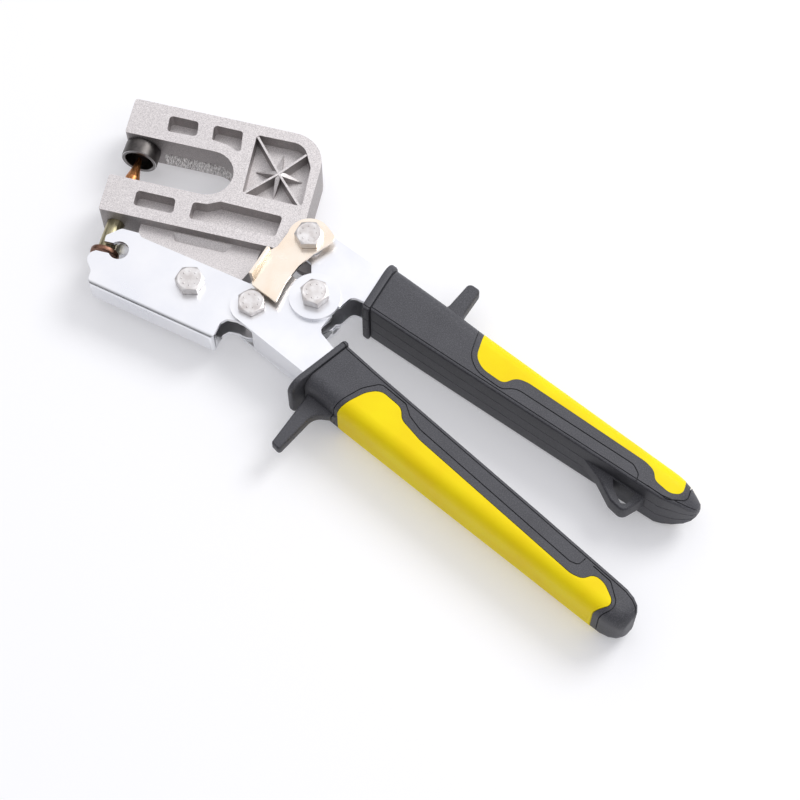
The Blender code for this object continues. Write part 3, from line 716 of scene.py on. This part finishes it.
def dress_latch(chromate):
    made = soften(from_node("latch_pressing", "latch_plate"), LATCH_EDGE)
    place(made, chromate, "latch", ["latch_plate"])


# Grips -------------------------------------------------------------------------------------------

# Stations are (along, inner side, outer side, half thickness) and the collar's flange is (start,
# end, inner side, outer side, lean). Pads and lines have corners along and across the handle.

OUTER_ROUND = 6.0
SEAM_ROUND = 0.9
SEAM = 0.32
# How far the parting lines on the inner side lie from its middle.
PARTING = 3.6
LINE_WIDTH = 0.42
LINE_DEPTH = 0.7
PAD_DEPTH = 1.4
PAD_GAP = 0.25
PAD_CROWN = 0.12
COLLAR_HALF = 12.3
POST_HALF = 2.6
LOOP_HALF = 4.0
GUARD_HALF = 2.3
# The room round a handle's channel in its grip: over its faces, and round its outline.
CHANNEL_ROOM = 0.3
TANG_ROOM = 0.4
# Half the height of a cutter that goes right through a grip, and of one that goes round it.
THROUGH = 16.0
ROUND_GRIP = 15.0

UPPER = {
    "angle": UPPER_ANGLE,
    "stations": [
        (60.8, 31.4, 53.5, 11.2), (66.0, 31.5, 53.3, 11.5), (85.0, 31.9, 52.8, 11.5),
        (105.0, 32.4, 51.7, 11.5), (150.0, 33.7, 50.3, 11.5), (192.0, 35.0, 49.05, 11.5),
        (197.0, 35.2, 48.9, 11.45), (200.0, 36.1, 48.75, 10.8), (203.5, 37.5, 48.4, 9.3),
        (207.0, 39.3, 47.5, 6.7), (209.0, 41.0, 46.3, 4.4), (209.8, 42.5, 45.0, 2.1),
    ],
    "flange": (59.2, 62.6, 30.2, 54.2, 0.15),
    "pad": [
        (104.5, 60.0), (104.8, 51.5), (108.8, 40.5, 7.0), (113.6, 37.6, 10.0), (123.6, 37.5, 3.5),
        (126.3, 42.4, 5.5), (131.0, 43.5, 12.0), (184.5, 43.9, 10.0), (189.0, 42.9, 5.5),
        (191.5, 39.8, 4.0), (198.5, 38.9, 5.0), (202.6, 42.0, 3.4), (200.8, 47.0, 5.0),
        (199.0, 50.5), (199.5, 60.0),
    ],
    "lines": [
        [
            (101.9, 60.0), (102.3, 51.5), (106.6, 39.6, 9.0), (112.4, 35.4, 11.0),
            (124.6, 35.2, 5.0), (128.7, 38.8, 7.0), (181.6, 40.3, 5.0), (185.4, 38.1, 3.0),
            (186.1, 35.2, 1.0),
        ],
        [(190.4, 36.4), (199.3, 36.4, 4.0), (205.2, 41.6, 3.0), (202.9, 48.0, 2.0), (202.0, 60.0)],
    ],
}
LOWER = {
    "angle": LOWER_ANGLE,
    "stations": [
        (63.6, 19.6, -2.7, 11.2), (68.0, 19.4, -2.6, 11.5), (82.0, 18.8, -2.3, 11.5),
        (105.0, 18.3, -1.6, 11.5), (122.0, 17.9, -1.1, 11.5), (165.0, 16.9, 0.4, 11.5),
        (202.0, 15.8, 1.6, 11.5), (207.5, 15.6, 1.8, 11.4), (211.0, 15.0, 2.5, 10.8),
        (213.6, 13.9, 3.7, 9.8), (215.0, 12.4, 5.2, 8.2), (215.4, 11.2, 6.6, 6.8),
    ],
    "flange": (61.9, 64.6, 20.3, -8.6, -0.11),
    "pad": [
        (80.2, -12.0), (80.6, -3.4), (84.7, 9.5, 11.0), (88.4, 13.9, 5.8), (99.0, 13.7, 5.2),
        (102.2, 10.2, 5.5), (113.0, 8.5, 20.0), (188.5, 6.1, 9.0), (193.0, 7.4, 4.0),
        (195.0, 11.4, 3.6), (199.6, 11.6, 7.5), (205.5, 8.6, 3.5), (206.8, 6.5, 1.9),
        (202.8, 1.5), (202.5, -12.0),
    ],
    "lines": [
        [
            (78.2, -12.0), (78.6, -3.4), (82.3, 9.9, 7.0), (86.6, 16.2, 3.5), (99.0, 16.2, 2.0),
            (103.6, 13.4, 2.0), (110.0, 11.9, 8.0), (185.2, 9.6, 3.0), (188.5, 10.7, 2.0),
            (188.7, 14.2, 1.0),
        ],
        [(192.6, 13.9), (201.0, 13.6, 3.0), (209.4, 7.6, 4.0), (205.4, 1.0, 4.0), (205.2, -12.0)],
    ],
}
# The thumb post, the finger guard, the hanging loop and its eye.
POST = [
    (78.0, 50.0), (80.5, 52.9), (84.4, 54.6, 3.0), (84.6, 68.7, 2.0), (90.3, 68.7, 2.0),
    (91.6, 54.8, 4.0), (97.0, 52.1), (99.0, 50.0),
]
GUARD = [
    (63.5, 3.0), (65.9, -4.9), (69.3, -26.6, 1.2), (73.8, -27.0, 1.2), (73.2, -7.5, 6.0),
    (81.5, -1.6), (82.0, 3.0),
]
LOOP = [
    (160.0, 37.0), (164.0, 34.2), (173.0, 31.0, 6.0), (181.5, 26.3, 3.0), (188.2, 25.2, 3.0),
    (190.8, 32.0, 2.0), (192.0, 38.0),
]
EYE = [(177.5, 34.0), (180.0, 30.8), (185.5, 27.6, 1.2), (187.6, 29.0, 1.2), (187.4, 34.0)]


def section(inner, outer, half, inset):
    """A grip's cross-section: a flat inner side between two seams, and a round outer side."""
    out = 1 if outer > inner else -1
    inner += inset * out
    outer -= inset * out
    half -= inset
    big = max(0.6, min(OUTER_ROUND - inset, half - 0.8, abs(outer - inner) - 2.0))
    small = min(SEAM_ROUND, abs(outer - inner) * 0.2)
    quarter = []
    for k in range(9):
        a = math.radians(90 * k / 8)
        quarter.append((outer - out * big * (1 - math.cos(a)), half - big * (1 - math.sin(a))))
    seam = inner + out * (small + SEAM)
    quarter += [(seam + out * SEAM, half), (seam + out * 0.7 * SEAM, half - 2 * SEAM)]
    quarter += [(seam + out * 0.1 * SEAM, half - 2 * SEAM), (seam - out * 0.2 * SEAM, half)]
    for k in range(4):
        a = math.radians(90 * k / 3)
        quarter.append((inner + out * small * (1 - math.sin(a)), half - small * (1 - math.cos(a))))
    track = min(PARTING, half * 0.35)
    for off, drop in ((0.2, 0.0), (0.1, 0.3), (-0.1, 0.3), (-0.2, 0.0)):
        quarter.append((inner + out * drop, track + off))
    return quarter + [(n, -z) for n, z in reversed(quarter)]


def lofted(shape, angle, stations, inset=0.0, lean=0.0):
    """The solid through a handle's cross-sections."""
    cos, sin = math.cos(math.radians(angle)), math.sin(math.radians(angle))
    rings = []
    for along, inner, outer, half in stations:
        middle = (inner + outer) / 2
        ring = []
        for n, z in section(inner, outer, half, inset):
            s = along + lean * (middle - n)
            ring.append((s * cos - n * sin, s * sin + n * cos, z))
        rings.append(ring)
    bridge(shape, rings)


def flange_stations(start, end, inner, outer):
    """Stations of the collar at a grip's mouth, with rounded edges."""
    out = 1 if outer > inner else -1
    made = []
    for along, drop in (
        (start, 0.8), (start + 0.25, 0.3), (start + 0.8, 0.0), (end - 0.8, 0.0),
        (end - 0.25, 0.3), (end, 0.8),
    ):
        made.append((along, inner + out * drop, outer - out * drop, COLLAR_HALF - drop))
    return made


def upper_tang(spare):
    """The outline of the channel inside the upper grip, with room round it."""
    end = TANG_END + spare
    return turned_by(UPPER_ANGLE, [
        (66.0, 49.6 + spare), (100.0, 47.8 + spare), (end, 46.0 + spare),
        (end, 37.6 - spare), (66.0, 36.0 - spare),
    ])


def lower_tang(spare):
    """The outline of the channel inside the lower grip, with room round it."""
    end = TANG_END + spare
    return turned_by(LOWER_ANGLE, [
        (68.0, 16.4 + spare), (end, 14.2 + spare), (end, 2.6 - spare), (68.0, 1.2 - spare),
    ])


def slab(points, half):
    """Builds a moulded rib with rounded edges, half as thick as told to each side."""

    def build(shape):
        rings = []
        for z, drop in (
            (-half, 0.7), (0.25 - half, 0.3), (0.8 - half, 0.0), (half - 0.8, 0.0),
            (half - 0.25, 0.3), (half, 0.7),
        ):
            rings.append([(x, y, z) for x, y in grown(points, -drop)])
        bridge(shape, rings)

    return build


def dress_grip(name, grip, body, additions, cavity, yellow):
    """The moulding with its collar, grooves and cavity, and its pad, which is placed here."""
    angle, stations = grip["angle"], grip["stations"]
    start, end, inner, outer, lean = grip["flange"]
    collar = flange_stations(start, end, inner, outer)
    pad = rounded(turned_by(angle, grip["pad"]))
    made = helper(f"{name}_moulding", lambda s: lofted(s, angle, stations))
    combine(made, "UNION", lambda s: lofted(s, angle, collar, 0.0, lean), *additions)

    def lines(shape):
        for line in grip["lines"]:
            outline = strip(rounded(turned_by(angle, line), False), LINE_WIDTH)
            prism(shape, outline, -THROUGH, THROUGH)

    def behind_collar(shape):
        out = 2 if outer > inner else -2
        ring = [(at, inner - out, outer + out, ROUND_GRIP) for at in (end - 0.05, end + 0.4)]
        lofted(shape, angle, ring, 0.0, lean)

    for build, depth in (
        (lambda s: prism(s, grown(pad, PAD_GAP), -THROUGH, THROUGH), PAD_DEPTH + PAD_GAP),
        (lines, LINE_DEPTH),
        (behind_collar, LINE_DEPTH),
    ):
        cutter = helper("groove", build)
        combine(cutter, "DIFFERENCE", lambda s, depth=depth: lofted(s, angle, stations, depth))
        combine(made, "DIFFERENCE", cutter)
    clear = HANDLE_OUT + CHANNEL_ROOM
    combine(made, "DIFFERENCE", lambda s: prism(s, cavity, -clear, clear))
    soft = helper(f"{name}_overmould", lambda s: lofted(s, angle, stations, -PAD_CROWN))
    combine(soft, "INTERSECT", lambda s: prism(s, pad, -THROUGH, THROUGH))
    combine(soft, "DIFFERENCE", lambda s: lofted(s, angle, stations, PAD_DEPTH))
    soften(soft, 0.35, 3, 50.0)
    place(soft, yellow, body, [f"{name}_pad"])
    return made


def dress_grips(plastic, yellow):
    post = slab(rounded(turned_by(UPPER_ANGLE, POST)), POST_HALF)
    loop = slab(rounded(turned_by(UPPER_ANGLE, LOOP)), LOOP_HALF)
    eye = rounded(turned_by(UPPER_ANGLE, EYE))
    cavity = turned_by(UPPER_ANGLE, [(50.0, 33.6), (50.0, 50.2)]) + upper_tang(TANG_ROOM)
    cavity += turned_by(UPPER_ANGLE, [(60.9, 34.2)])
    upper = dress_grip("upper_grip", UPPER, "upper_handle", [post, loop], cavity, yellow)
    combine(upper, "DIFFERENCE", lambda s: prism(s, eye, -LOOP_HALF - 1, LOOP_HALF + 1))
    place(upper, plastic, "upper_handle", ["upper_grip"])
    guard = slab(rounded(turned_by(LOWER_ANGLE, GUARD)), GUARD_HALF)
    cavity = turned_by(LOWER_ANGLE, [(50.0, 0.8), (50.0, 16.8)]) + lower_tang(TANG_ROOM)
    lower = dress_grip("lower_grip", LOWER, "lower_handle", [guard], cavity, yellow)
    place(lower, plastic, "lower_handle", ["lower_grip"])


# Spring and fasteners ------------------------------------------------------------------------------

SPRING_RADIUS = 6.5
SPRING_WIRE = 1.4
SPRING_HALF = 4.3
SPRING_LEG = 24.0
# Where the coil starts and ends, in degrees, and how many steps it takes.
SPRING_START = 204.0
SPRING_END = 120.0 - 4 * 360.0
SPRING_STEPS = 132


def heading(angle):
    """The direction at an angle of the tool's plane, in degrees."""
    a = math.radians(angle)
    return Vector((math.cos(a), math.sin(a), 0))


def dress_spring(steel):
    """The torsion spring round the handle pivot, with a leg into each handle channel."""
    coil = []
    for k in range(SPRING_STEPS + 1):
        share = k / SPRING_STEPS
        middle = Vector((*HANDLE_PIVOT, SPRING_HALF * (2 * share - 1)))
        angle = SPRING_START + (SPRING_END - SPRING_START) * share
        coil.append(middle + heading(angle) * SPRING_RADIUS)
    first = coil[0] + heading(SPRING_START + 90) * SPRING_LEG
    last = coil[-1] + heading(SPRING_END - 90) * SPRING_LEG
    points = [first, *coil, last]
    curve = bpy.data.curves.new("torsion_spring", "CURVE")
    curve.dimensions = "3D"
    curve.bevel_depth = SPRING_WIRE / 2 * MM
    curve.bevel_resolution = 4
    curve.use_fill_caps = True
    path = curve.splines.new("POLY")
    path.points.add(len(points) - 1)
    for knot, point in zip(path.points, points):
        knot.co = (*(TO_FRAME @ point), 1)
    curve.materials.append(steel)
    made = linked("torsion_spring", curve)
    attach(made, "upper_handle")
    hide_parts("return_spring")


# The dots on a bolt's head: how many, the radius of their circle, and each one's half sizes.
DOTS = 8
DOT_CIRCLE = 3.1
DOT_SIZE = (0.34, 0.34, 0.2)


def hexagon(centre, angle):
    """The outline of a bolt's head or a nut, with its corners turned by an angle."""
    corner = ACROSS_FLATS / 2 / math.cos(math.radians(30))
    ends = [math.radians(angle + 30 + 60 * k) for k in range(6)]
    return [(centre[0] + corner * math.cos(a), centre[1] + corner * math.sin(a)) for a in ends]


def dress_bolt(name, body, pivot, angle, seat, top, nut_seat, nut_end, zinc):
    """A chamfered hexagon bolt with a ring of plain dots on its head, and its thin nut."""
    made = helper(f"{name}_hex_bolt", lambda s: prism(s, hexagon(pivot, angle), seat, top))
    chamfered = [
        (5.05, seat - 0.1), (6.2, seat + 0.45), (6.2, top - 0.75), (4.75, top - 0.02), (4.4, top),
        (4.0, top - 0.12),
    ]
    combine(made, "INTERSECT", lambda s: turned_z(s, chamfered, pivot))
    end = nut_end + 0.2
    shank = [(2.5, end), (2.95, end + 0.5), (SHANK, end + 0.6), (SHANK, seat + 1)]
    combine(made, "UNION", lambda s: turned_z(s, shank, pivot))
    dots = helper(f"{name}_head_dots", lambda s: head_dots(s, pivot, angle, top - 0.12))
    dots.data.transform(TO_FRAME)
    dots.data.materials.append(zinc)
    dots.data.shade_smooth()
    place(made, zinc, body, [f"{name}_bolt"])
    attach(dots, body)
    nut = helper(f"{name}_thin_nut", lambda s: prism(s, hexagon(pivot, angle), nut_end, nut_seat))
    chamfered_nut = [
        (4.75, nut_end), (6.2, nut_end + 0.7), (6.2, nut_seat - 0.45), (5.05, nut_seat + 0.1),
    ]
    combine(nut, "INTERSECT", lambda s: turned_z(s, chamfered_nut, pivot))
    bore = [(3.7, nut_end - 0.2), (HOLE, nut_end + 0.35), (HOLE, nut_seat + 1)]
    combine(nut, "DIFFERENCE", lambda s: turned_z(s, bore, pivot))
    place(nut, zinc, body, [f"{name}_nut"])


def head_dots(shape, pivot, angle, height):
    """A plain ring of raised dots."""
    for k in range(DOTS):
        spot = Vector((*pivot, height)) + heading(angle + 360 * k / DOTS) * DOT_CIRCLE
        size = Matrix.Diagonal((*DOT_SIZE, 1.0))
        bmesh.ops.create_icosphere(
            shape, subdivisions=2, radius=1.0, matrix=Matrix.Translation(spot) @ size
        )


def dress_ring(name, body, pivot, radius, low, high, zinc):
    """A washer, shim or sleeve with broken edges."""
    edge = min(0.2, (high - low) / 4)
    loop = [
        (HOLE, low + edge), (HOLE + edge, low), (radius - edge, low), (radius, low + edge),
        (radius, high - edge), (radius - edge, high), (HOLE + edge, high), (HOLE, high - edge),
    ]
    made = helper(f"{name}_turned", lambda s: turned_z(s, loop, pivot, True))
    place(made, zinc, body, [name])


# Each bolt's name, body, pivot and turn, then where its head starts and ends and its nut too.
BOLTS = (
    ("lever_pivot", "die_head", LEVER_PIVOT, -75, 6.2, 10.2, -6.2, -9.4),
    ("link_pivot", "lower_handle", LINK_PIVOT, -105, DISC_IN, 10.4, -DISC_IN, -11.1),
    ("handle_pivot", "upper_handle", HANDLE_PIVOT, -93, 9.7, 13.6, -9.7, -12.2),
    ("frame_pivot", "die_head", FRAME_PIVOT, -75, 11.95, 15.4, -9.1, -12.2),
)
SHIM_IN = WEB_HALF + 0.15
# Each ring's name, body, pivot and radius, then where it starts and ends.
RINGS = (
    ("frame_pivot_shim_front", "die_head", FRAME_PIVOT, 6.0, SHIM_IN, LEVER_OUT),
    ("frame_pivot_shim_back", "die_head", FRAME_PIVOT, 6.0, -LEVER_OUT, -SHIM_IN),
    ("frame_pivot_spacer_front", "die_head", FRAME_PIVOT, 6.0, DISC_IN, 10.45),
    ("frame_pivot_washer_back", "die_head", FRAME_PIVOT, 6.3, -8.95, -DISC_IN),
    ("handle_pivot_sleeve", "upper_handle", HANDLE_PIVOT, 5.0, -LEVER_OUT, LEVER_OUT),
    ("link_pivot_sleeve", "lower_handle", LINK_PIVOT, 5.0, -WEB_HALF, WEB_HALF),
)


def dress_fasteners(zinc):
    for bolt in BOLTS:
        dress_bolt(*bolt, zinc)
    for ring in RINGS:
        dress_ring(*ring, zinc)


# Studio ------------------------------------------------------------------------------------------

FLOOR_HALF = 4.0
FLOOR_DROP = 0.0002
FLOOR_COLOUR = (0.72, 0.72, 0.73, 1)
FLOOR_GLOW = (0.97, 0.97, 1.0, 1)
FLOOR_GLOW_STRENGTH = 0.28
# How bright the room is, by how far up and back it is.
ROOM = ((0.08, 0.08), (0.70, 0.74), (0.88, 1.08))
ROOM_LEAN = (0.0, 0.25, 0.92)
ROOM_TINT = (0.985, 0.985, 1.02)
# Each light's name, its place in metres, its disk's diameter and its power. It points at the origin.
LIGHTS = (
    ("key", (0.9, 1.1, 1.5), 1.0, 19.0),
    ("fill", (0.9, -0.6, 1.5), 0.8, 1.5),
)


def studio_floor():
    """A pale floor just under the tool, which glows a little so that it stays white."""
    shape = bmesh.new()
    bmesh.ops.create_grid(shape, x_segments=1, y_segments=1, size=FLOOR_HALF)
    floor = object_of("studio_floor", shape)
    floor.location.z = -FLOOR_DROP
    pale = bpy.data.materials.new("pale_floor")
    pale.use_nodes = True
    surface = pale.node_tree.nodes["Principled BSDF"]
    surface.inputs["Base Color"].default_value = FLOOR_COLOUR
    surface.inputs["Roughness"].default_value = 0.8
    surface.inputs["Emission Color"].default_value = FLOOR_GLOW
    surface.inputs["Emission Strength"].default_value = FLOOR_GLOW_STRENGTH
    floor.data.materials.append(pale)


def studio_room():
    """A white room that darkens towards its horizon."""
    world = bpy.data.worlds.new("studio_room")
    bpy.context.scene.world = world
    bpy.context.scene.view_settings.view_transform = "Standard"
    world.use_nodes = True
    tree = world.node_tree
    sky = tree.nodes["Background"]
    where = tree.nodes.new("ShaderNodeTexCoord")
    lean = tree.nodes.new("ShaderNodeVectorMath")
    lean.operation = "DOT_PRODUCT"
    lean.inputs[1].default_value = ROOM_LEAN
    tree.links.new(where.outputs["Generated"], lean.inputs[0])
    ramp = tree.nodes.new("ShaderNodeValToRGB")
    ramp.color_ramp.elements.new(0.5)
    for element, (at, grey) in zip(ramp.color_ramp.elements, ROOM):
        element.position = at
        element.color = (*(grey * share for share in ROOM_TINT), 1)
    tree.links.new(lean.outputs["Value"], ramp.inputs["Fac"])
    tree.links.new(ramp.outputs["Color"], sky.inputs["Color"])
    sky.inputs["Strength"].default_value = 1.0


def studio_lights():
    for name, spot, size, power in LIGHTS:
        light = bpy.data.lights.new(name, "AREA")
        light.shape = "DISK"
        light.size = size
        light.energy = power
        lamp = linked(name, light)
        lamp.location = spot
        lamp.rotation_euler = (-Vector(spot)).to_track_quat("-Z", "Y").to_euler()


def camera():
    a, e = math.radians(AZIMUTH), math.radians(ELEVATION)
    back = Vector((math.sin(a) * math.cos(e), -math.cos(a) * math.cos(e), math.sin(e)))
    lens = bpy.data.cameras.new("camera")
    lens.lens = LENS
    lens.sensor_width = SENSOR
    lens.clip_start = 0.01
    lens.clip_end = 20.0
    made = linked("camera", lens)
    made.location = TO_FRAME @ AIM + back * DISTANCE
    made.rotation_euler = (-back).to_track_quat("-Z", "Y").to_euler()
    bpy.context.scene.camera = made


def main():
    zinc = zinc_plate()
    bolts = fastener_zinc()
    camera()
    studio_floor()
    studio_room()
    studio_lights()
    dress_frame(cast_aluminium(), flash_aluminium())
    dress_die(blackened_steel(), bolts)
    dress_punch(punch_bronze(), copper_foot())
    dress_lever(zinc)
    dress_channels(zinc)
    dress_latch(yellow_chromate())
    dress_grips(charcoal_plastic(), yellow_rubber())
    dress_spring(spring_steel())
    dress_fasteners(bolts)


main()
